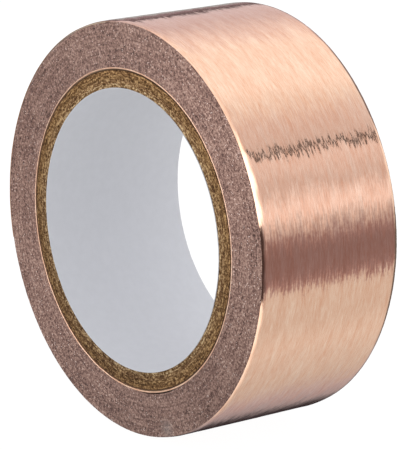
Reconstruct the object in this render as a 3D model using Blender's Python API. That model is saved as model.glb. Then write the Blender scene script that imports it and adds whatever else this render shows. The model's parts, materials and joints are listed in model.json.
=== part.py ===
"""Wide copper foil tape roll standing on its rim, in metres, +Z up.

The origin is the centre of the bore and the bore runs along Y. Angles are seen from the front (-Y):
0 degrees points to +X, 90 to +Z. The tape is wound so that its free end leaves the pack at the first
of BENDS and runs anticlockwise, down the left side, to TAIL_END, where a closing strip holds it down.
"""
from math import cos, pi, radians, sin

import bmesh
import bpy
from mathutils import Vector

MM = 0.001

# The roll
OUTSIDE_RADIUS = 37.1 * MM
BORE_RADIUS = 25.1 * MM
WIDTH = 30.0 * MM
FACETS = 72

# The core, from the bore outwards
LINER_PLY = 0.10 * MM
BOARD_PLY = 0.75 * MM
BOARD_PLIES = 4
KRAFT_WRAP = 0.20 * MM
GLUE_LINE = 0.02 * MM

# The first copper turn, bare and stuck to the core
START_ADHESIVE = 0.06 * MM
START_FOIL = 0.25 * MM

# The tape's three webs; a whole turn adds TAPE to the radius
FOIL = 0.05 * MM
ADHESIVE = 0.03 * MM
RELEASE_LINER = 0.075 * MM
WEB_GAP = 0.005 * MM
TAPE = FOIL + ADHESIVE + RELEASE_LINER + 3 * WEB_GAP

# The free end, in rigid links that stand in for bending foil
BENDS = (102.5, 122.5, 142.5, 162.5)
LINER_BEND = 172.5
TAIL_END = 192.5
LINK_GAP = 0.15 * MM

# The closing strip
STRIP_START = 177.5
STRIP_END = 207.5
STRIP_PAPER = 0.10 * MM
STRIP_ADHESIVE = 0.03 * MM

STEP = 360.0 / FACETS
CORNER = 1 / cos(radians(STEP / 2))


def spiral(angle):
    """Radius of the tape's outer surface; the tail's tip is at the full outside radius."""
    return OUTSIDE_RADIUS - TAPE * (TAIL_END - angle) / 360.0


def polar(radius, angle):
    """A corner of the faceted roll: its flats, not its corners, lie on the given radius."""
    return Vector((radius * CORNER * cos(radians(angle)), radius * CORNER * sin(radians(angle))))


def round_outline(radius):
    """Closed outline with a flat at the bottom, on which the roll stands."""
    first = -90.0 + STEP / 2
    return [polar(radius, first + i * STEP) for i in range(FACETS)]


def arc(depth, start, end):
    """Points along the tape from start to end, depth below its outer surface."""
    count = round((end - start) / STEP)
    return [polar(spiral(start + i * STEP) - depth, start + i * STEP) for i in range(count + 1)]


def shorten(outline_arc, gap):
    """Move an arc's two ends inwards along it by half the gap."""
    first = (outline_arc[1] - outline_arc[0]).normalized() * gap / 2
    last = (outline_arc[-2] - outline_arc[-1]).normalized() * gap / 2
    return [outline_arc[0] + first, *outline_arc[1:-1], outline_arc[-1] + last]


def web_outline(top, thickness, start, end):
    """One web of the tape: its outer face is top below the tape's outer surface."""
    outer = shorten(arc(top, start, end), LINK_GAP)
    inner = shorten(arc(top + thickness, start, end), LINK_GAP)
    return outer + inner[::-1]


def pack_outline():
    """The wound pack: a spiral that drops by one tape where the free end leaves it."""
    wound = arc(0.0, TAIL_END - 360.0, BENDS[0])
    bared = arc(TAPE, BENDS[0], TAIL_END)
    return wound + bared[:-1]


def finish(name, colour, roughness, metallic=0.0):
    """A plain Principled material."""
    material = bpy.data.materials.new(name)
    material.use_nodes = True
    shader = material.node_tree.nodes["Principled BSDF"]
    shader.inputs["Base Color"].default_value = (*colour, 1.0)
    shader.inputs["Roughness"].default_value = roughness
    shader.inputs["Metallic"].default_value = metallic
    return material


def sheet(name, outlines, material, pivot=None):
    """Fill the outlines, the first outside and any other a hole, and extrude them to the tape's width."""
    origin = pivot.matrix_world.translation if pivot else Vector((0, 0, 0))
    bm = bmesh.new()
    edges = []
    for outline in outlines:
        corners = [bm.verts.new(Vector((p.x, -WIDTH / 2, p.y)) - origin) for p in outline]
        edges += [bm.edges.new((corners[i - 1], corners[i])) for i in range(len(corners))]
    bmesh.ops.triangle_fill(bm, use_beauty=True, edges=edges)
    extruded = bmesh.ops.extrude_face_region(bm, geom=bm.faces[:])
    moved = [g for g in extruded["geom"] if isinstance(g, bmesh.types.BMVert)]
    bmesh.ops.translate(bm, vec=(0, WIDTH, 0), verts=moved)
    bmesh.ops.recalc_face_normals(bm, faces=bm.faces[:])
    mesh = bpy.data.meshes.new(name)
    bm.to_mesh(mesh)
    bm.free()
    mesh.materials.append(material)
    mesh.shade_smooth()
    mesh.set_sharp_from_angle(angle=radians(30))
    piece = bpy.data.objects.new(name, mesh)
    bpy.context.collection.objects.link(piece)
    if pivot:
        piece.parent = pivot
    return piece


def tube(name, inner, thickness, material):
    """A closed ply of the core."""
    return sheet(name, [round_outline(inner + thickness), round_outline(inner)], material)


def pivot_at(name, angle, height, parent=None):
    """An empty on a bend's axis, height above the tape's outer surface at the angle."""
    point = polar(spiral(angle) + height, angle)
    pivot = bpy.data.objects.new(name, None)
    pivot.empty_display_size = 5 * MM
    bpy.context.collection.objects.link(pivot)
    place = Vector((point.x, 0, point.y))
    if parent:
        pivot.parent = parent
        place -= parent.matrix_world.translation
    pivot.location = place
    bpy.context.view_layer.update()
    return pivot


def build_core(paper, board, kraft):
    """White liner, chipboard plies and kraft wrap; returns the core's outside radius."""
    tube("bore_liner", BORE_RADIUS, LINER_PLY, paper)
    radius = BORE_RADIUS + LINER_PLY + GLUE_LINE
    for ply in range(BOARD_PLIES):
        tube(f"core_ply_{ply + 1}", radius, BOARD_PLY, board)
        radius += BOARD_PLY + GLUE_LINE
    tube("core_wrap", radius, KRAFT_WRAP, kraft)
    return radius + KRAFT_WRAP + GLUE_LINE


def build_pack(radius, adhesive, copper, wound):
    """The first copper turn on the core, then the wound tape up to its outer turn."""
    tube("start_adhesive", radius, START_ADHESIVE, adhesive)
    radius += START_ADHESIVE + GLUE_LINE
    tube("start_foil", radius, START_FOIL, copper)
    radius += START_FOIL + GLUE_LINE
    sheet("wound_pack", [pack_outline(), round_outline(radius)], wound)


def build_tail(copper, adhesive, paper):
    """The free end's links, each hinged at the foil's outer face; returns the last link's pivot."""
    adhesive_top = FOIL + WEB_GAP
    liner_top = adhesive_top + ADHESIVE + WEB_GAP
    pivot = None
    for link, start in enumerate(BENDS, 1):
        last = link == len(BENDS)
        end = TAIL_END if last else BENDS[link]
        pivot = pivot_at(f"tail_{link}_pivot", start, 0.0, pivot)
        sheet(f"tail_foil_{link}", [web_outline(0.0, FOIL, start, end)], copper, pivot)
        sheet(f"tail_adhesive_{link}", [web_outline(adhesive_top, ADHESIVE, start, end)], adhesive, pivot)
        backed = web_outline(liner_top, RELEASE_LINER, start, LINER_BEND if last else end)
        sheet(f"tail_liner_{link}", [backed], paper, pivot)
    tip_pivot = pivot_at("liner_tip_pivot", LINER_BEND, -liner_top - RELEASE_LINER, pivot)
    sheet("liner_tip", [web_outline(liner_top, RELEASE_LINER, LINER_BEND, TAIL_END)], paper, tip_pivot)
    return pivot


def build_strip(tail_pivot, crepe, adhesive):
    """The closing strip: its upper half lies on the tail's tip, its lower half on the pack."""
    above = STRIP_ADHESIVE + WEB_GAP
    top = above + STRIP_PAPER + WEB_GAP
    held = (STRIP_START, TAIL_END)
    sheet("strip_adhesive_top", [web_outline(-above, STRIP_ADHESIVE, *held)], adhesive, tail_pivot)
    sheet("strip_paper_top", [web_outline(-top, STRIP_PAPER, *held)], crepe, tail_pivot)
    flap = (TAIL_END, STRIP_END)
    flap_pivot = pivot_at("flap_pivot", TAIL_END, top - TAPE, tail_pivot)
    sheet("strip_adhesive_flap", [web_outline(TAPE - above, STRIP_ADHESIVE, *flap)], adhesive, flap_pivot)
    sheet("strip_paper_flap", [web_outline(TAPE - top, STRIP_PAPER, *flap)], crepe, flap_pivot)


def main():
    """Clear the scene and build the roll."""
    for old in list(bpy.data.objects):
        bpy.data.objects.remove(old)
    copper = finish("copper_foil", (0.83, 0.50, 0.38), 0.30, 1.0)
    wound = finish("wound_tape", (0.46, 0.32, 0.29), 0.55, 0.4)
    board = finish("chipboard", (0.36, 0.24, 0.11), 0.90)
    kraft = finish("kraft_wrap", (0.22, 0.12, 0.06), 0.85)
    paper = finish("white_paper", (0.80, 0.81, 0.84), 0.75)
    adhesive = finish("acrylic_adhesive", (0.62, 0.55, 0.42), 0.40)
    crepe = finish("crepe_paper", (0.80, 0.72, 0.55), 0.85)
    radius = build_core(paper, board, kraft)
    build_pack(radius, adhesive, copper, wound)
    tail_pivot = build_tail(copper, adhesive, paper)
    build_strip(tail_pivot, crepe, adhesive)


main()
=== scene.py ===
import json
from math import atan2, cos, degrees, hypot, pi, radians, sin

import bmesh
import bpy
import numpy as np
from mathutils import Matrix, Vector


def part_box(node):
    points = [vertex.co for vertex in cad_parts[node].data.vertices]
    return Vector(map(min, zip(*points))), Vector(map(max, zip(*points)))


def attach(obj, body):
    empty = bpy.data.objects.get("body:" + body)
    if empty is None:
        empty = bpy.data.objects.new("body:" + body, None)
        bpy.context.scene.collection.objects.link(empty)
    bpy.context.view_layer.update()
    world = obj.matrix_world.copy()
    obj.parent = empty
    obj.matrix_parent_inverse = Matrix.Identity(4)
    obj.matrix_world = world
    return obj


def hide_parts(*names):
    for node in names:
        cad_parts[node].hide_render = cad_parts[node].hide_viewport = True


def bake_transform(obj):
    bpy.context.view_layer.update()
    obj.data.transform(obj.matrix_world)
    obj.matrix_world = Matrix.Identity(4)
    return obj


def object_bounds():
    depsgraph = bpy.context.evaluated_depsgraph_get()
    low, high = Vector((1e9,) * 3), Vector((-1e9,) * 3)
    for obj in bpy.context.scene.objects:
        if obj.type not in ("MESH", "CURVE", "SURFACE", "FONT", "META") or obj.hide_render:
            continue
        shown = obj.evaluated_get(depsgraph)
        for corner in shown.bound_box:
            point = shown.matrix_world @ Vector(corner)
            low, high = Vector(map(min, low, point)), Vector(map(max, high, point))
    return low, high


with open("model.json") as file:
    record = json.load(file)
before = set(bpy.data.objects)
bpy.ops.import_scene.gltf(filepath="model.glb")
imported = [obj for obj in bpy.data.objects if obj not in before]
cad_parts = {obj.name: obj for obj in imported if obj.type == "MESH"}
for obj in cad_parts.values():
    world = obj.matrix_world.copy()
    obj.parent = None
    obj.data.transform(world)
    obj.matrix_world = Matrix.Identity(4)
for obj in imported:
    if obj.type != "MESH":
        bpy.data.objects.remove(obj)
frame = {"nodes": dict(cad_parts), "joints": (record.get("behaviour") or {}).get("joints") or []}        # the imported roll: bore along Y, standing on its rim, front side face at -Y
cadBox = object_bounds()
mm = 0.001
facets = 72
facetCos = cos(pi / facets)        # the solids' flats, not their corners, lie on the real radii


def radii(node):
    reaches = [hypot(v.co.x, v.co.z) for v in frame["nodes"][node].data.vertices]
    return min(reaches) * facetCos, max(reaches) * facetCos


def bendAngle(name):        # where a hinge sits round the roll, in degrees from +X towards +Z
    joint = next(j for j in frame["joints"] if j["name"] == name)
    x, _, z = joint["pos_m"]
    return degrees(atan2(z, x)) % 360


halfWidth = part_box("wound_pack")[1].y
tipRadius = radii("tail_foil_4")[1]
packInner = radii("wound_pack")[0]
bends = [bendAngle(name) for name in ("tail_lift", "tail_bend_2", "tail_bend_3", "tail_bend_4")]
linerBend = bendAngle("liner_peel")
tailEnd = bendAngle("flap_peel")
tape = dict(foil=0.05 * mm, adhesive=0.03 * mm, liner=0.075 * mm, gap=0.005 * mm)
tape["turn"] = tape["foil"] + tape["adhesive"] + tape["liner"] + 3 * tape["gap"]


def turnRadius(angle):        # outer face of the tape, which spirals out to its free end
    return tipRadius - tape["turn"] * (tailEnd - angle) / 360


def onRoll(angle, radius, y=0.0):
    return Vector((radius * cos(radians(angle)), y, radius * sin(radians(angle))))


def apart(angle, centre):        # signed degrees from centre
    return (angle - centre + 180) % 360 - 180


def toLinear(hexColour):
    parts = [int(hexColour[i:i + 2], 16) / 255 for i in (1, 3, 5)]
    return (*[c / 12.92 if c <= 0.04045 else ((c + 0.055) / 1.055) ** 2.4 for c in parts], 1.0)


def setRamp(ramp, stops):
    while len(ramp.elements) > 1:
        ramp.elements.remove(ramp.elements[-1])
    for i, (place, colour) in enumerate(stops):
        stop = ramp.elements[0] if i == 0 else ramp.elements.new(place)
        stop.position = place
        if isinstance(colour, str):
            colour = toLinear(colour)
        stop.color = colour if isinstance(colour, tuple) else (colour, colour, colour, 1)


def addNode(tree, kind, settings=None, links=None):        # a link comes from a socket, or a node's first one
    node = tree.nodes.new("ShaderNode" + kind)
    for key, value in (settings or {}).items():
        if isinstance(value, str) and value.startswith("#"):
            value = toLinear(value)
        if key == "stops":
            setRamp(node.color_ramp, value)
        elif isinstance(key, str) and hasattr(node, key):
            setattr(node, key, value)
        else:
            node.inputs[key].default_value = value
    for key, source in (links or {}).items():
        tree.links.new(source.outputs[0] if hasattr(source, "outputs") else source, node.inputs[key])
    return node


def newMaterial(name, settings):
    material = bpy.data.materials.new(name)
    material.use_nodes = True
    tree = material.node_tree
    shader = tree.nodes["Principled BSDF"]
    for key, value in settings.items():
        shader.inputs[key].default_value = toLinear(value) if isinstance(value, str) else value
    return material, tree, shader


def addUp(tree, *terms):        # each term is (node, factor)
    total = None
    for source, factor in terms:
        step = addNode(tree, "Math", {"operation": "MULTIPLY_ADD", 1: factor, 2: 0.0}, {0: source})
        if total:
            tree.links.new(total.outputs[0], step.inputs[2])
        total = step
    return total


def restPlace(tree):        # millimetres from the bore's centre, stored on every piece at rest
    return addNode(tree, "Attribute", {"attribute_name": "restPlace"}).outputs["Vector"]


# millimetres from the bore's axis to where a pattern that runs round the roll is true to size
patternRadius = dict(band=37.0, face=33.0, board=27.0)


def alongTape(tree, alongMm, acrossMm, part, across="Y"):
    # cells alongMm long round the roll and acrossMm wide, over the tape's width or over the radius
    split = addNode(tree, "SeparateXYZ", links={0: restPlace(tree)})
    flat = addNode(tree, "CombineXYZ", links={"X": split.outputs["X"], "Z": split.outputs["Z"]})
    unit = addNode(tree, "VectorMath", {"operation": "NORMALIZE"}, {0: flat})
    along = addNode(tree, "VectorMath", {"operation": "SCALE", "Scale": patternRadius[part] / alongMm},
                    {0: unit})
    source = split.outputs["Y"]
    if across != "Y":
        source = addNode(tree, "VectorMath", {"operation": "LENGTH"}, {0: flat}).outputs["Value"]
    scaled = addNode(tree, "Math", {"operation": "MULTIPLY", 1: 1 / acrossMm}, {0: source})
    lift = addNode(tree, "CombineXYZ", links={"Y": scaled})
    return addNode(tree, "VectorMath", {"operation": "ADD"}, {0: along, 1: lift}).outputs[0]


# painted light: the direction and offset of a colour gradient that stands in for light falling from the upper
# right
paintedLightLook = dict(angle=70, lower=1 / 3)


def paintedLightToUpperRight(tree, colour, share):        # painted light: the colour is made a little paler towards the upper right, where the light falls more strongly
    toward = onRoll(paintedLightLook["angle"], share / patternRadius["band"])
    lift = addNode(tree, "VectorMath", {"operation": "DOT_PRODUCT", 1: toward}, {0: restPlace(tree)})
    level = addNode(tree, "Math", {"operation": "ADD", 1: 1 - share * paintedLightLook["lower"]},
                    {0: lift.outputs["Value"]})
    return addNode(tree, "VectorMath", {"operation": "SCALE"}, {0: colour, "Scale": level}).outputs[0]


# rolled copper foil, bright off the mill: fine lines along the tape break every reflection into teeth
copperLook = dict(base="#fbdcc4", deep="#e3ad8e", roughness=0.10, streakMm=(2.6, 0.34),
                  streakEdge=(0.42, 0.58), streakTilt=0.034, coarseMm=(8.0, 1.1), coarseTilt=0.08,
                  grainMm=0.55, grainTilt=0.06, lineMm=(1.6, 0.16), lineShare=0.6, wornEdge=(0.30, 0.70))


def rolledCopper(name, look):
    material, tree, shader = newMaterial(name, {"Metallic": 1.0, "Roughness": look["roughness"]})
    fine = addNode(tree, "TexNoise", {"Scale": 1.0, "Detail": 2.0, "Roughness": 0.5},
                   {"Vector": alongTape(tree, *look["streakMm"], "band")})
    streakFrom, streakTo = look["streakEdge"]
    streak = addNode(tree, "MapRange", {"interpolation_type": "SMOOTHSTEP", "From Min": streakFrom,
                                        "From Max": streakTo}, {"Value": fine})
    coarse = addNode(tree, "TexNoise", {"Scale": 1.0, "Detail": 2.0, "Roughness": 0.6},
                     {"Vector": alongTape(tree, *look["coarseMm"], "band")})
    grain = addNode(tree, "TexNoise", {"Scale": 1 / look["grainMm"], "Detail": 2.0, "Roughness": 0.6},
                    {"Vector": restPlace(tree)})
    lines = addNode(tree, "TexNoise", {"Scale": 1.0, "Detail": 2.0, "Roughness": 0.7},
                    {"Vector": alongTape(tree, *look["lineMm"], "band")})
    wornFrom, wornTo = look["wornEdge"]
    worn = addNode(tree, "ValToRGB", {"stops": [(wornFrom, 0.0), (wornTo, 1.0)]},
                   {"Fac": addUp(tree, (lines, look["lineShare"]), (coarse, 1 - look["lineShare"]))})
    colour = addNode(tree, "Mix", {"data_type": "RGBA", 6: look["base"], 7: look["deep"]}, {0: worn})
    tree.links.new(colour.outputs[2], shader.inputs["Base Color"])
    tilt = addUp(tree, (streak, look["streakTilt"]), (coarse, look["coarseTilt"]), (grain, look["grainTilt"]))
    middle = (look["streakTilt"] + look["coarseTilt"] + look["grainTilt"]) / 2
    centred = addNode(tree, "Math", {"operation": "SUBTRACT", 1: middle}, {0: tilt})
    tangent = addNode(tree, "Tangent", {"direction_type": "RADIAL", "axis": "Y"})
    lean = addNode(tree, "VectorMath", {"operation": "SCALE"}, {0: tangent, "Scale": centred})
    facing = addNode(tree, "NewGeometry").outputs["Normal"]
    leaning = addNode(tree, "VectorMath", {"operation": "ADD"}, {0: facing, 1: lean})
    unit = addNode(tree, "VectorMath", {"operation": "NORMALIZE"}, {0: leaning})
    tree.links.new(unit.outputs[0], shader.inputs["Normal"])
    return material


# slit edges of foil and liner wound together: matt mauve brown, with painted glints where burrs would catch
# the light, and painted light paler towards the upper right
woundLook = dict(pit="#402c26", low="#7a5b53", high="#a08073", pale="#c4a598",
                 gritMm=0.37, gritShare=0.70, arcMm=(9.0, 0.30), arcShare=0.20, patchMm=8.3, patchShare=0.10,
                 paintedGlint="#fbe6dc", glintCellMm=0.303, glintCellShare=0.10, scuff="#b3aaa5", scuffAngle=-73,
                 scuffRadius=35.4, scuffMm=2.2, scuffCore=0.3, scuffCover=0.7, paintedLightToUpperRight=0.13)


def woundEdges(name, look):
    material, tree, shader = newMaterial(name, {"Roughness": 0.5, "Metallic": 0.6, "Anisotropic": 0.8,
                                                "Anisotropic Rotation": 0.25})
    grit = addNode(tree, "TexNoise", {"Scale": 1 / look["gritMm"], "Detail": 4.0, "Roughness": 0.75},
                   {"Vector": restPlace(tree)})
    arcs = addNode(tree, "TexNoise", {"Scale": 1.0, "Detail": 3.0, "Roughness": 0.6},
                   {"Vector": alongTape(tree, *look["arcMm"], "face", "radius")})
    patch = addNode(tree, "TexNoise", {"Scale": 1 / look["patchMm"], "Detail": 2.0, "Roughness": 0.6},
                    {"Vector": restPlace(tree)})
    level = addUp(tree, (grit, look["gritShare"]), (arcs, look["arcShare"]), (patch, look["patchShare"]))
    body = addNode(tree, "ValToRGB", {"stops": [(0.39, look["pit"]), (0.46, look["low"]),
                                                (0.54, look["high"]), (0.62, look["pale"])]}, {"Fac": level})
    # painted highlights: a few cells get a near-white glint spot mixed into the base colour
    cells = addNode(tree, "TexVoronoi", {"Scale": 1 / look["glintCellMm"]}, {"Vector": restPlace(tree)})
    chance = addNode(tree, "SeparateColor", links={0: cells.outputs["Color"]})
    glintCell = addNode(tree, "Math", {"operation": "GREATER_THAN", 1: 1 - look["glintCellShare"]}, {0: chance})
    spot = addNode(tree, "ValToRGB", {"stops": [(0.12, 1.0), (0.42, 0.0)]},
                   {"Fac": cells.outputs["Distance"]})
    paintedGlint = addNode(tree, "Math", {"operation": "MULTIPLY"}, {0: glintCell, 1: spot})
    middle = onRoll(look["scuffAngle"], look["scuffRadius"], -halfWidth / mm)
    away = addNode(tree, "VectorMath", {"operation": "DISTANCE", 1: middle}, {0: restPlace(tree)})
    rubbed = addNode(tree, "MapRange", {"From Min": look["scuffMm"], "From Max": look["scuffCore"],
                                        "To Max": look["scuffCover"]}, {"Value": away.outputs["Value"]})
    patchy = addNode(tree, "Math", {"operation": "MULTIPLY"}, {0: rubbed, 1: grit})
    scuffed = addNode(tree, "Mix", {"data_type": "RGBA", 7: look["scuff"]}, {0: patchy, 6: body})
    glintedColour = addNode(tree, "Mix", {"data_type": "RGBA", 7: look["paintedGlint"]}, {0: paintedGlint, 6: scuffed.outputs[2]})
    # painted light: the base colour is made paler towards the upper right
    tree.links.new(paintedLightToUpperRight(tree, glintedColour.outputs[2], look["paintedLightToUpperRight"]), shader.inputs["Base Color"])
    tangent = addNode(tree, "Tangent", {"direction_type": "RADIAL", "axis": "Y"})
    tree.links.new(tangent.outputs[0], shader.inputs["Tangent"])
    bump = addNode(tree, "Bump", {"Strength": 0.8, "Distance": 0.15 * mm}, {"Height": level})
    tree.links.new(bump.outputs[0], shader.inputs["Normal"])
    return material


# grey chipboard soaked golden brown by its glue: a sawn edge with dark and pale fibres, and painted light
# that makes it paler towards the upper right
boardTones = [("#3a240c", "#7f5f3c", "#ddc197"), ("#37210c", "#79583a", "#cfae7e"),
              ("#34200c", "#765635", "#c8a474"), ("#301e0a", "#725132", "#c19b6a")]
boardLook = dict(fleckMm=0.385, fleckShare=0.6, fibreMm=(1.6, 0.25), paintedLightToUpperRight=0.25)


def chipboard(name, tones, look):
    material, tree, shader = newMaterial(name, {"Roughness": 0.9, "Specular IOR Level": 0.2})
    fleck = addNode(tree, "TexNoise", {"Scale": 1 / look["fleckMm"], "Detail": 4.0, "Roughness": 0.75},
                    {"Vector": restPlace(tree)})
    fibre = addNode(tree, "TexNoise", {"Scale": 1.0, "Detail": 3.0, "Roughness": 0.6},
                    {"Vector": alongTape(tree, *look["fibreMm"], "board", "radius")})
    level = addUp(tree, (fleck, look["fleckShare"]), (fibre, 1 - look["fleckShare"]))
    tone = addNode(tree, "ValToRGB", {"stops": [(0.39, tones[0]), (0.5, tones[1]), (0.61, tones[2])]},
                   {"Fac": level})
    # painted light: the base colour is made paler towards the upper right
    tree.links.new(paintedLightToUpperRight(tree, tone.outputs["Color"], look["paintedLightToUpperRight"]), shader.inputs["Base Color"])
    bump = addNode(tree, "Bump", {"Strength": 0.7, "Distance": 0.12 * mm}, {"Height": level})
    tree.links.new(bump.outputs[0], shader.inputs["Normal"])
    return material


# paper in several grades: bleached and calendered in the bore, glassine liner, kraft, creped masking tape
paperLooks = dict(
    whitePaper=dict(low="#c6c7cb", high="#c9cace", roughness=0.55, fibreMm=1.5, bump=0.02),
    releaseLiner=dict(low="#e6dcc4", high="#f3ecd9", roughness=0.38, fibreMm=0.6, bump=0.08),
    kraftWrap=dict(low="#33200f", high="#5f4124", roughness=0.85, fibreMm=0.4, bump=0.4),
    crepePaper=dict(low="#dcc592", high="#efdcae", roughness=0.8, fibreMm=0.5, bump=0.4),
)


def paper(name, look):
    material, tree, shader = newMaterial(name, {"Roughness": look["roughness"]})
    fibre = addNode(tree, "TexNoise", {"Scale": 1 / look["fibreMm"], "Detail": 5.0, "Roughness": 0.6},
                    {"Vector": restPlace(tree)})
    tone = addNode(tree, "ValToRGB", {"stops": [(0.35, look["low"]), (0.65, look["high"])]}, {"Fac": fibre})
    tree.links.new(tone.outputs["Color"], shader.inputs["Base Color"])
    bump = addNode(tree, "Bump", {"Strength": look["bump"], "Distance": 0.02 * mm}, {"Height": fibre})
    tree.links.new(bump.outputs[0], shader.inputs["Normal"])
    return material


# acrylic adhesive, clear and tacky: faintly amber, with tiny streaks from the coating knife
adhesiveLook = dict(low="#a98a62", high="#c4a67c", roughness=0.3, coat=0.5, coatRoughness=0.2,
                    streakMm=(8.0, 0.5), bump=0.3)


def adhesive(name, look):
    material, tree, shader = newMaterial(name, {"Roughness": look["roughness"], "Coat Weight": look["coat"],
                                                "Coat Roughness": look["coatRoughness"]})
    streaks = addNode(tree, "TexNoise", {"Scale": 1.0, "Detail": 3.0, "Roughness": 0.6},
                      {"Vector": alongTape(tree, *look["streakMm"], "band")})
    tone = addNode(tree, "ValToRGB", {"stops": [(0.35, look["low"]), (0.65, look["high"])]}, {"Fac": streaks})
    tree.links.new(tone.outputs["Color"], shader.inputs["Base Color"])
    bump = addNode(tree, "Bump", {"Strength": look["bump"], "Distance": 0.01 * mm}, {"Height": streaks})
    tree.links.new(bump.outputs[0], shader.inputs["Normal"])
    return material


copper = rolledCopper("rolledCopper", copperLook)
slitCopper = rolledCopper("slitCopper", dict(copperLook, roughness=0.45))        # dull where the knife cut it
wound = woundEdges("woundEdges", woundLook)
boards = [chipboard(f"chipboard{i}", tones, boardLook) for i, tones in enumerate(boardTones, 1)]
papers = {name: paper(name, look) for name, look in paperLooks.items()}
sticky = adhesive("acrylicAdhesive", adhesiveLook)
print("materials made")


def waves(seed, angle, along, turnsMean, alongMean, count=16):
    # smooth noise of about unit size that closes on itself round the roll: turnsMean waves to a turn, and
    # about alongMean from one to the next the other way
    chance = np.random.default_rng(seed)
    total = 0
    for _ in range(count):
        turns = max(1, round(turnsMean * chance.uniform(0.3, 1.7)))
        total = total + np.cos(turns * np.radians(angle) + along * chance.normal() / alongMean
                               + chance.uniform(0, 2 * pi))
    return total / (count / 2) ** 0.5


def sweep(profile, start, end, steps):
    # a grid wrapped into the closed outline profile of (y, radius), carried round the bore
    bm = bmesh.new()
    count = len(profile)
    bmesh.ops.create_grid(bm, x_segments=steps, y_segments=count, size=1.0)
    for v in bm.verts:
        y, radius = profile[round((v.co.y + 1) / 2 * count) % count]
        v.co = onRoll(start + (end - start) * (v.co.x + 1) / 2, radius, y)
    bmesh.ops.remove_doubles(bm, verts=bm.verts, dist=1e-7)
    return bm


def ringOf(profile, steps):
    bm = sweep(profile, 0, 360, steps)
    bmesh.ops.recalc_face_normals(bm, faces=bm.faces)
    return bm


def bandOf(profile, start, end, steps):        # part of a turn, with its two ends closed
    bm = sweep(profile, start, end, steps)
    bmesh.ops.holes_fill(bm, edges=[e for e in bm.edges if e.is_boundary], sides=0)
    bmesh.ops.recalc_face_normals(bm, faces=bm.faces)
    return bm


def makePiece(bm, name, material, replaced, change=None, start=-180.0, sharpAngle=40):
    # change takes and returns angle in degrees from start, radius and y, as arrays over all vertices
    mesh = bpy.data.meshes.new(name)
    bm.to_mesh(mesh)
    bm.free()
    points = np.empty(len(mesh.vertices) * 3)
    mesh.vertices.foreach_get("co", points)
    points = points.reshape(-1, 3)
    if change:
        begin = start - 1e-4        # a hair early, so that the first row isn't taken for the last
        angle = begin + (np.degrees(np.arctan2(points[:, 2], points[:, 0])) - begin) % 360
        radius = np.hypot(points[:, 0], points[:, 2])
        radius, y = change(angle, radius, points[:, 1].copy())
        points = np.stack([radius * np.cos(np.radians(angle)), y, radius * np.sin(np.radians(angle))], 1)
        mesh.vertices.foreach_set("co", points.ravel())
    place = mesh.attributes.new("restPlace", "FLOAT_VECTOR", "POINT")
    place.data.foreach_set("vector", (points / mm).ravel())
    mesh.materials.append(material)
    mesh.shade_smooth()
    mesh.set_sharp_from_angle(angle=radians(sharpAngle))
    mesh.update()
    piece = bpy.data.objects.new(name, mesh)
    bpy.context.scene.collection.objects.link(piece)
    if replaced:
        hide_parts(*replaced)
    return piece


# the lining's long edge makes a low step that winds along the bore; lip folds it over the first ply
boreSettings = dict(inset=0.03 * mm, lip=0.05 * mm, skin=0.02 * mm, edgeWave=0.04 * mm, edgeFrom=0.99,
                    seamAngle=200, seamTurns=0.3, seamStep=0.03 * mm, seamFade=20, rows=48, steps=360)


def boreLiner(look):
    inner, outer = radii("bore_liner")
    outer += look["lip"]
    reach = halfWidth - look["inset"]
    rows = look["rows"]
    profile = [(reach * (2 * i / rows - 1), inner + look["skin"]) for i in range(rows + 1)]
    profile += [(reach, outer), (-reach, outer)]

    def change(angle, radius, y):
        past = apart(angle, look["seamAngle"] + 360 * look["seamTurns"] * y / (2 * reach))
        lap = np.where(past > 0, np.exp(-(np.clip(past, 0, None) / look["seamFade"]) ** 2), 0)
        inside = radius < (inner + outer) / 2
        radius = radius + inside * look["seamStep"] * (0.5 - lap)
        edge = np.abs(y) > look["edgeFrom"] * reach
        y = y - np.sign(y) * edge * look["edgeWave"] * np.abs(waves(3, angle, 0, 40, 1)) / 2
        return radius, y

    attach(makePiece(ringOf(profile, look["steps"]), "boreLiner", papers["whitePaper"],
                      ["bore_liner"], change), "roll")


# pits are (angle, radius in mm, size in mm, depth in mm), torn out of the sawn edge
boardSettings = dict(inset=0.03 * mm, stagger=0.03 * mm, rough=0.05 * mm, roughMean=1.2, roughSwing=0.6,
                     grooveWidth=0.01 * mm, groove=0.03 * mm, pitEdge=1.6, steps=720,
                     across=(0, 0.06, 0.25, 0.5, 0.75, 0.94, 1),
                     pits=[(125, 27.6, 0.45, 0.6), (60, 27.0, 0.25, 0.2), (-20, 26.4, 0.3, 0.2),
                           (-64, 26.6, 0.28, 0.3), (-97, 26.5, 0.22, 0.2), (168, 27.2, 0.25, 0.2)])


def corePly(index, look):
    node = f"core_ply_{index}"
    inner, outer = radii(node)
    reach = halfWidth - look["inset"] - look["stagger"] * (index % 2)
    inner += boreSettings["lip"] if index == 1 else 0
    across = [inner + (outer - inner) * share for share in look["across"]]
    profile = [(-reach, r) for r in across] + [(reach, r) for r in reversed(across)]

    def change(angle, radius, y):
        spot = np.stack([radius * np.cos(np.radians(angle)), radius * np.sin(np.radians(angle))])
        uneven = look["roughMean"] + look["roughSwing"] * waves(index, angle, radius / mm, 260, 0.25)
        drop = look["rough"] * uneven
        drop += look["groove"] * (np.minimum(radius - inner, outer - radius) < look["grooveWidth"])
        for pitAngle, pitRadius, size, depth in look["pits"]:
            centre = onRoll(pitAngle, pitRadius * mm)
            away = np.hypot(spot[0] - centre.x, spot[1] - centre.z) / (size * mm)
            drop += (y < 0) * depth * mm * np.exp(-(away * look["pitEdge"]) ** 2)
        return radius, y - np.sign(y) * np.clip(drop, 0, None)

    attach(makePiece(ringOf(profile, look["steps"]), f"corePly{index}", boards[index - 1],
                      [node], change), "roll")


# shape is (share of the thickness, how far the edge falls away there)
ringSettings = dict(shape=[(0, 1), (0.15, 0.35), (0.5, 0), (0.85, 0.35), (1, 1)], wave=0.02 * mm, steps=720)


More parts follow.
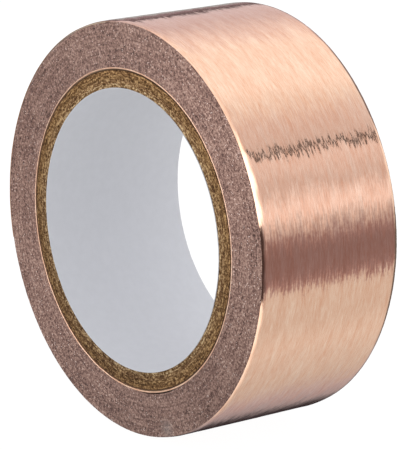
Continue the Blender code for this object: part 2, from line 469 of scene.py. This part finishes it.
def plainRing(node, name, material, inset, edgeRound):
    inner, outer = radii(node)
    reach = halfWidth - inset
    shape = ringSettings["shape"]
    profile = [(-reach + edgeRound * fall, inner + (outer - inner) * share) for share, fall in shape]
    profile += [(reach - edgeRound * fall, inner + (outer - inner) * share)
                for share, fall in reversed(shape)]

    def change(angle, radius, y):
        return radius, y - np.sign(y) * ringSettings["wave"] * np.abs(waves(7, angle, 0, 30, 1))

    bm = ringOf(profile, ringSettings["steps"])
    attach(makePiece(bm, name, material, [node], change), "roll")


boreLiner(boreSettings)
for plyIndex in range(1, len(boards) + 1):
    corePly(plyIndex, boardSettings)
plainRing("core_wrap", "coreWrap", papers["kraftWrap"], 0.12 * mm, 0.04 * mm)
plainRing("start_adhesive", "startAdhesive", sticky, 0.25 * mm, 0.0)
plainRing("start_foil", "startFoil", slitCopper, 0.03 * mm, 0.06 * mm)
print("core made")

# the slitting knives bend the tape's edges down a little, and the front one more over one short stretch
edgeCurl = dict(frontReach=1.3 * mm, frontDrop=0.16 * mm, rearReach=0.7 * mm, rearDrop=0.12 * mm,
                bentAngle=21, bentSpread=9, bentMore=0.55)
waveSettings = dict(slack=0.03 * mm, streak=0.006 * mm, soft=0.008 * mm)


def bentAt(angle):
    away = apart(angle, edgeCurl["bentAngle"]) / edgeCurl["bentSpread"]
    return 1 + edgeCurl["bentMore"] * np.exp(-away ** 4)


def curlAt(y, angle):
    bent = bentAt(angle)
    front = np.clip(1 - (y + halfWidth) / (edgeCurl["frontReach"] * bent), 0, 1)
    rear = np.clip(1 - (halfWidth - y) / edgeCurl["rearReach"], 0, 1)
    return edgeCurl["frontDrop"] * bent * front ** 2 + edgeCurl["rearDrop"] * rear ** 2


# leave is how many degrees before the first bend the pack starts to sink under the free end, over sinkSpan;
# lift is how far the first turns stand off the core over one stretch
packSettings = dict(rows=84, steps=480, ridge=0.02 * mm, wander=0.02 * mm, grit=0.012 * mm,
                    inset=0.07 * mm, spare=0.01 * mm, under=0.015 * mm, leave=4, sinkSpan=2, sink=0.06 * mm,
                    liftRows=5, liftAngle=-74, liftSpread=10, lift=0.22 * mm)


def woundTape(look):
    outer = tipRadius - tape["turn"]
    rows = look["rows"]
    face = [packInner + (outer - packInner) * i / rows for i in range(rows + 1)]
    reach = halfWidth - look["inset"]
    profile = [(-reach, r) for r in face] + [(reach, r) for r in reversed(face)]

    def change(angle, radius, y):
        share = (radius - packInner) / (outer - packInner)
        row = np.round(share * rows)
        free = np.clip((angle - bends[0] + look["leave"]) / look["sinkSpan"], 0, 1)
        drop = np.where(y < 0, edgeCurl["frontDrop"] * bentAt(angle), edgeCurl["rearDrop"])
        edge = (turnRadius(angle) - waveSettings["slack"] - drop - look["under"]
                - (tape["turn"] + look["sink"]) * free)
        radius = packInner + (edge - packInner) * share
        first = np.clip(1 - row / look["liftRows"], 0, 1)
        near = np.exp(-(apart(angle, look["liftAngle"]) / look["liftSpread"]) ** 4)
        radius = radius + look["lift"] * first * near
        wander = look["wander"] * waves(11, angle, row, 2, 3) + look["grit"] * waves(12, angle, row, 320, 0.7)
        ridge = look["ridge"] * (row % 2)
        return radius, y + np.sign(y) * np.clip(wander + ridge, None, look["inset"] - look["spare"])

    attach(makePiece(ringOf(profile, look["steps"]), "woundTape", wound, ["wound_pack"],
                      change, start=tailEnd - 360, sharpAngle=60), "roll")


# rows across a web are close where its edges curl; the webs under the foil are a little narrower than it
webSettings = dict(frontSpan=2.0 * mm, frontRows=16, middleRows=26, rearRows=6, stepsPerDegree=2,
                   foilInset=0.08 * mm, underInset=0.25 * mm)


def webBand(name, top, thickness, start, end, material, replaced=()):
    # one web of the tape, top being its depth below the outer face, from one angle to another
    look = webSettings
    inset = look["underInset"] if top else look["foilInset"]
    frontRows, middleRows, rearRows = look["frontRows"], look["middleRows"], look["rearRows"]
    inFront = [-halfWidth + look["frontSpan"] * i / frontRows for i in range(frontRows + 1)]
    atRear = [halfWidth - edgeCurl["rearReach"] * (1 - i / rearRows) for i in range(rearRows + 1)]
    middle = [inFront[-1] + (atRear[0] - inFront[-1]) * i / middleRows for i in range(1, middleRows)]
    across = inFront + middle + atRear
    outer = turnRadius(start) - top
    profile = [(y, outer) for y in across] + [(y, outer - thickness) for y in reversed(across)]

    def change(angle, radius, y):
        growth = turnRadius(angle) - turnRadius(start)
        ripple = waveSettings["streak"] * waves(21, angle, y / mm, 30, 0.5)
        ripple = ripple + waveSettings["soft"] * waves(22, angle, y / mm, 14, 4)
        radius = radius + growth + ripple - waveSettings["slack"] - curlAt(y, angle)
        return radius, y * (1 - (tipRadius - turnRadius(angle) + inset) / halfWidth)

    bm = bandOf(profile, start, end, round((end - start) * look["stepsPerDegree"]))
    return makePiece(bm, name, material, replaced, change, start)


woundTape(packSettings)
liftBefore = 2        # degrees before the first bend at which the foil starts to leave the pack
liftStart = bends[0] - liftBefore
underLap = 2        # degrees that the turn below the free end reaches back under the outer one
underStart = liftStart - 360 - underLap
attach(webBand("outerTurn", 0, tape["foil"], tailEnd - 360, liftStart, copper), "roll")
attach(webBand("underTurn", 0, tape["foil"], underStart, tailEnd - 360, copper), "roll")
print("wound tape made")

# each piece of a web spans one hinge, from the middle of one link to the middle of the next
halfLink = 10        # degrees
linkMiddles = [angle + halfLink for angle in bends]
linkSpans = list(zip([liftStart, *linkMiddles[:-1]], linkMiddles))
webs = [
    ("Foil", 0.0, tape["foil"], copper, "copper_foil", "tail_foil_{}"),
    ("Adhesive", tape["foil"] + tape["gap"], tape["adhesive"], sticky, "acrylic_adhesive",
     "tail_adhesive_{}"),
    ("Liner", tape["foil"] + tape["adhesive"] + 2 * tape["gap"], tape["liner"], papers["releaseLiner"],
     "release_liner", "tail_liner_{}"),
]


def bendPiece(piece):
    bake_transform(piece)


for webName, top, thickness, material, slotName, node in webs:
    for link, (start, end) in enumerate(linkSpans, 1):
        piece = webBand(f"tail{webName}{link}", top, thickness, start, end, material,
                        [node.format(link)])
        bendPiece(piece)
    tip = webBand(f"tail{webName}Tip", top, thickness, linerBend, tailEnd, material,
                  ["liner_tip"] if webName == "Liner" else ())
    if webName == "Liner":
        bendPiece(tip)
    else:
        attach(tip, "tail_4")
print("free end made")

# a band of creped paper over the tape's cut end, torn to small teeth along its sides
stripSettings = dict(start=177.5, end=207.5, paper=0.10 * mm, adhesive=0.03 * mm, reach=14.55 * mm, rows=48,
                     steps=120, stepBefore=0.3, stepSpan=1.2, toothMm=1.4, tooth=0.35 * mm,
                     toothDepth=0.7 * mm, crepe=0.006 * mm, crepeTurns=420, crepeMean=1.5,
                     crepeDeepest=0.03 * mm, bendBefore=2, bendAfter=3)


def stripLayer(name, bottom, thickness, material, replaced, look, creped):
    rows = look["rows"]
    reach = look["reach"]
    across = [reach * (2 * i / rows - 1) for i in range(rows + 1)]
    low = tipRadius + bottom
    profile = [(y, low + thickness) for y in across] + [(y, low) for y in reversed(across)]

    def change(angle, radius, y):
        isTop = radius > low + thickness / 2
        down = np.clip((angle - tailEnd + look["stepBefore"]) / look["stepSpan"], 0, 1)
        growth = turnRadius(angle) - tipRadius - tape["turn"] * down * down * (3 - 2 * down)
        zig = np.abs((np.radians(angle) * tipRadius / mm / look["toothMm"]) % 1 - 0.5) * 2
        rim = np.clip((np.abs(y) - reach + look["toothDepth"]) / look["toothDepth"], 0, 1)
        fold = waves(31, angle, y / mm, look["crepeTurns"], 3) - look["crepeMean"]
        ripple = look["crepe"] * fold * isTop * creped
        radius = (radius + growth - curlAt(y, angle) - waveSettings["slack"]
                  + np.clip(ripple, -look["crepeDeepest"], 0))
        return radius, y - np.sign(y) * look["tooth"] * zig * rim

    bm = bandOf(profile, look["start"], look["end"], look["steps"])
    piece = makePiece(bm, name, material, replaced, change, look["start"])
    bendPiece(piece)


stripLayer("stripAdhesive", tape["gap"], stripSettings["adhesive"], sticky,
           ["strip_adhesive_top", "strip_adhesive_flap"], stripSettings, False)
stripLayer("stripPaper", 2 * tape["gap"] + stripSettings["adhesive"], stripSettings["paper"],
           papers["crepePaper"], ["strip_paper_top", "strip_paper_flap"], stripSettings, True)
print("closing strip made")

floorSize = 3.0
floorSettings = {"Base Color": "#4a4a4a", "Roughness": 1.0, "Specular IOR Level": 0.0,
                 "Emission Color": "#ffffff", "Emission Strength": 0.97}


def makeFloor(look):
    bm = bmesh.new()
    bmesh.ops.create_grid(bm, x_segments=2, y_segments=2, size=floorSize)
    bmesh.ops.translate(bm, vec=(0, 0, cadBox[0][2]), verts=bm.verts)
    mesh = bpy.data.meshes.new("floor")
    bm.to_mesh(mesh)
    bm.free()
    mesh.materials.append(newMaterial("paleFloor", look)[0])
    floor = bpy.data.objects.new("floor", mesh)
    bpy.context.scene.collection.objects.link(floor)
    floor.visible_glossy = False        # what copper mirrors below the roll is part of the light tent


# the light tent round the bore's direction: degrees above the +X horizon, brightness, tint. sideStops is
# its front and rearStops its back, which the tape's curled edges mirror
tints = dict(white=(1, 1, 1), pink=(1, 0.94, 0.97), brown=(1, 0.74, 0.80), straw=(1, 0.98, 0.96),
             mauve=(1, 0.91, 0.99))
tentStops = [(-180, 0.50, "white"), (-171, 0.40, "white"), (-166, 0.05, "brown"), (-143, 0.04, "brown"),
             (-136, 0.15, "mauve"), (-129, 0.38, "mauve"), (-116, 0.53, "mauve"), (-97, 0.69, "straw"),
             (-68, 0.85, "straw"), (-52, 0.76, "straw"), (-34.5, 0.78, "straw"), (-30.5, 0.44, "brown"),
             (-25.0, 0.31, "brown"), (-12.4, 0.28, "brown"), (-5.5, 0.36, "brown"), (2.8, 0.72, "pink"),
             (11.0, 1.14, "pink"), (24.3, 0.74, "pink"), (38.3, 0.94, "pink"),
             (43.0, 0.94, "pink"), (43.3, 0.0, "brown"), (45.0, 0.0, "brown"), (45.2, 0.74, "pink"),
             (60, 0.84, "pink"), (74, 1.04, "white"), (84, 1.18, "white"), (114, 1.18, "white"),
             (126, 1.02, "pink"), (146, 0.75, "mauve"), (164.5, 0.76, "mauve"), (168.5, 0.05, "brown"),
             (174, 0.30, "brown")]
sideStops = [(-140, 0.5, "white"), (-118, 0.9, "white"), (-100, 1.5, "white"), (-34, 1.6, "straw"),
             (-29, 0.06, "brown"), (6, 0.06, "brown"), (12, 2.4, "white"), (44, 2.6, "white"),
             (56, 1.35, "white"), (150, 1.15, "pink"), (172, 0.7, "pink")]
rearStops = [(-150, 0.20, "white"), (-15, 0.16, "white"), (0, 1.00, "white"), (55, 1.20, "white"),
             (66, 0.25, "mauve"), (170, 0.20, "mauve")]
tentEdges = dict(side=(0.50, 0.24), rear=(0.72, 0.86), room=(0.16, 0.0))        # each fades in over this Y

# the room in front of the side face: darker towards the floor, with a lamp level with the roll
roomLook = dict(low=0.38, high=1.10, lampTo=(-0.36, -0.93, 0.04), lampLevel=2.4, lampEdge=(0.90, 0.98))

# what lights paper and board: a dome, brighter from above and from behind
domeLook = dict(colour="#fcfcff", slope=(0.0, 0.25, 0.42), rearFrom=0.2, low=0.9, high=1.6)


def tentRamp(tree, share, stops):
    peak = max(level for angle, level, tint in stops)
    bands = addNode(tree, "ValToRGB", links={"Fac": share})
    setRamp(bands.color_ramp, [(angle / 360 + 0.5, (*[level / peak * c for c in tints[tint]], 1))
                               for angle, level, tint in stops])
    return addNode(tree, "VectorMath", {"operation": "SCALE", "Scale": peak}, {0: bands})


def makeTent():
    world = bpy.data.worlds.new("lightTent")
    world.use_nodes = True
    tree = world.node_tree
    tree.nodes.clear()
    toward = addNode(tree, "TexCoord").outputs["Generated"]
    split = addNode(tree, "SeparateXYZ", links={0: toward})
    turn = addNode(tree, "Math", {"operation": "ARCTAN2"}, {0: split.outputs["Z"], 1: split.outputs["X"]})
    share = addNode(tree, "Math", {"operation": "MULTIPLY_ADD", 1: 1 / (2 * pi), 2: 0.5}, {0: turn})
    fades = {part: addNode(tree, "MapRange", {"interpolation_type": "SMOOTHSTEP", "From Min": begin,
                                              "From Max": full}, {"Value": split.outputs["Y"]})
             for part, (begin, full) in tentEdges.items()}
    middle, side, rear = [tentRamp(tree, share, stops) for stops in (tentStops, sideStops, rearStops)]
    inside = addNode(tree, "Mix", {"data_type": "RGBA"}, {0: fades["rear"], 6: middle, 7: rear})
    tent = addNode(tree, "Mix", {"data_type": "RGBA"}, {0: fades["side"], 6: inside.outputs[2], 7: side})
    room = addNode(tree, "MapRange", {"From Min": -1.0, "To Min": roomLook["low"],
                                      "To Max": roomLook["high"]}, {"Value": split.outputs["Z"]})
    lampTo = Vector(roomLook["lampTo"]).normalized()
    toLamp = addNode(tree, "VectorMath", {"operation": "DOT_PRODUCT", 1: lampTo}, {0: toward})
    lampFrom, lampFull = roomLook["lampEdge"]
    lamp = addNode(tree, "MapRange", {"interpolation_type": "SMOOTHSTEP", "From Min": lampFrom,
                                      "From Max": lampFull, "To Max": roomLook["lampLevel"]},
                   {"Value": toLamp.outputs["Value"]})
    lit = addUp(tree, (room, 1.0), (lamp, 1.0))
    seen = addNode(tree, "Mix", {"data_type": "RGBA"}, {0: fades["room"], 6: tent.outputs[2], 7: lit})
    shiny = addNode(tree, "Background", links={"Color": seen.outputs[2]})
    slope = addNode(tree, "VectorMath", {"operation": "DOT_PRODUCT", 1: domeLook["slope"]}, {0: toward})
    back = addNode(tree, "MapRange", {"From Min": domeLook["rearFrom"], "To Min": domeLook["low"],
                                      "To Max": domeLook["high"]}, {"Value": split.outputs["Y"]})
    dome = addNode(tree, "Math", {"operation": "ADD"}, {0: slope.outputs["Value"], 1: back})
    soft = addNode(tree, "Background", {"Color": domeLook["colour"]}, {"Strength": dome})
    white = addNode(tree, "Background", {"Color": "#ffffff", "Strength": 1.0})
    path = addNode(tree, "LightPath")
    rays = addNode(tree, "MixShader", links={0: path.outputs["Is Diffuse Ray"], 1: shiny, 2: soft})
    choice = addNode(tree, "MixShader", links={0: path.outputs["Is Camera Ray"], 1: rays, 2: white})
    addNode(tree, "OutputWorld", links={"Surface": choice})
    bpy.context.scene.world = world


cameraSettings = dict(azimuth=52.27, elevation=13.53, roll=-0.41, distance=0.5900, lens=265.3,
                      shiftX=0.0077, shiftY=-0.0154)


def makeCamera(look):
    camera = bpy.data.objects.new("camera", bpy.data.cameras.new("camera"))
    az, el = radians(look["azimuth"]), radians(look["elevation"])
    back = Vector((sin(az) * cos(el), -cos(az) * cos(el), sin(el)))
    camera.location = back * look["distance"]
    camera.rotation_euler = back.to_track_quat("Z", "Y").to_euler()
    camera.rotation_euler.rotate_axis("Z", radians(look["roll"]))
    camera.data.lens = look["lens"]
    camera.data.shift_x = look["shiftX"]
    camera.data.shift_y = look["shiftY"]
    camera.data.clip_start = 0.01
    bpy.context.scene.collection.objects.link(camera)
    bpy.context.scene.camera = camera


makeFloor(floorSettings)
makeTent()
makeCamera(cameraSettings)
bpy.context.scene.view_settings.view_transform = "Standard"
print("stage made")
